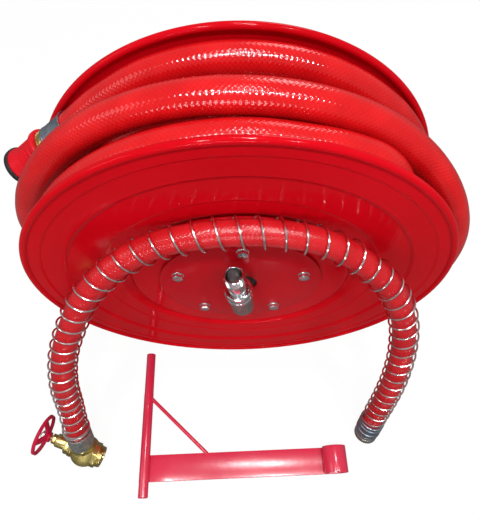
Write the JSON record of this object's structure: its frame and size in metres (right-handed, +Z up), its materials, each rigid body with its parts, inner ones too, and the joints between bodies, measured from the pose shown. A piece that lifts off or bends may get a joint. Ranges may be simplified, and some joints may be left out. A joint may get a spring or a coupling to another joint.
{
  "type": "fire_hose_reel",
  "caption": "Red swinging fire hose reel with pressed side discs, wound hose, bell nozzle, spring-guarded inlet hose with brass valve, and a separate wall bracket.",
  "frame": {"origin": "On the floor, in the middle of the box round the reel and its wall bracket.", "axes": "+X runs to the right along the front disc, +Y from the front disc to the back disc, along the hub axis, and +Z up."},
  "size_m": [0.635, 0.41, 0.557],
  "materials": {
    "disc_red": "gloss",
    "hose_red": "satin",
    "bracket_red": "gloss",
    "wheel_red": "gloss",
    "nozzle_red": "satin",
    "zinc": "satin",
    "chrome": "polished",
    "steel": "satin",
    "brass": "satin",
    "black_rubber": "matte"
  },
  "bodies": {
    "drum": {"front_disc": "disc_red", "back_disc": "disc_red", "drum_barrel": "disc_red", "front_hub": "disc_red", "back_hub": "disc_red", "front_bolts": "chrome", "front_nuts": "zinc", "back_bolts": "chrome", "back_nuts": "zinc", "hub_bush": "brass", "dust_seal": "black_rubber", "thrust_washer": "brass", "outlet_sleeve": "brass", "outlet_pipe": "zinc", "outlet_union": "brass", "hose_core": "hose_red", "reel_hose": "hose_red", "nozzle_ferrule": "zinc", "nozzle_tail": "brass", "nozzle_body": "nozzle_red", "nozzle_jet": "brass"},
    "inlet": {"waterway_shaft": "steel", "shaft_o_rings": "black_rubber", "retaining_ring": "steel", "spindle_body": "steel", "spindle_collar": "chrome", "spindle_pipe": "chrome"},
    "nozzle_tip": {"nozzle_sleeve": "nozzle_red", "nozzle_bumper": "black_rubber"},
    "supply_hose": {"inlet_hose": "hose_red", "guard_spring": "chrome", "valve_ferrule": "zinc", "valve_tail": "brass", "valve_body": "brass", "valve_bonnet": "brass", "gland_packing": "black_rubber", "gland_nut": "brass", "coupling_ferrule": "zinc", "coupling_tail": "brass", "coupling_washer": "black_rubber"},
    "valve_plug": {"valve_disc": "brass", "seat_washer": "black_rubber"},
    "valve_handle": {"valve_stem": "brass", "handwheel": "wheel_red", "handwheel_nut": "zinc"},
    "coupling_ring": {"coupling_nut": "zinc"},
    "wall_bracket": {"pivot_bar": "bracket_red", "bracket_arm": "bracket_red", "brace_rod": "bracket_red"}
  },
  "joints": [
    {"name": "drum_swivel", "type": "hinge", "parent": "drum", "child": "inlet", "pos_m": [0.0009, 0.0351, 0.275], "axis": [0, 1, 0], "continuous": true},
    {"name": "nozzle_twist", "type": "hinge", "parent": "drum", "child": "nozzle_tip", "pos_m": [-0.21985, 0.16728, 0.41695], "axis": [-0.7908, -0.0797, -0.6068], "range_deg": [0, 180]},
    {"name": "hose_lift_off", "type": "slide", "parent": "drum", "child": "supply_hose", "axis": [0, -0.9404, 0.3401], "range_m": [0, 0.2]},
    {"name": "disc_lift", "type": "slide", "parent": "supply_hose", "child": "valve_plug", "axis": [-0.9296, 0.3316, 0.1608], "range_m": [0, 0.009]},
    {"name": "handwheel_turn", "type": "hinge", "parent": "valve_plug", "child": "valve_handle", "pos_m": [-0.2561, -0.1349, 0.024], "axis": [-0.9296, 0.3316, 0.1608], "range_deg": [0, 1080]},
    {"name": "coupling_turn", "type": "hinge", "parent": "supply_hose", "child": "coupling_ring", "pos_m": [0.2074, -0.1099, 0.0275], "axis": [-0.0896, -0.2913, -0.9524], "continuous": true},
    {"name": "bracket_lift_off", "type": "slide", "parent": "drum", "child": "wall_bracket", "axis": [0, 0, 1], "range_m": [0, 0.15]}
  ],
  "couplings": [
    {"joint": "disc_lift", "follows": "handwheel_turn", "m_per_rad": 0.0004775}
  ]
}
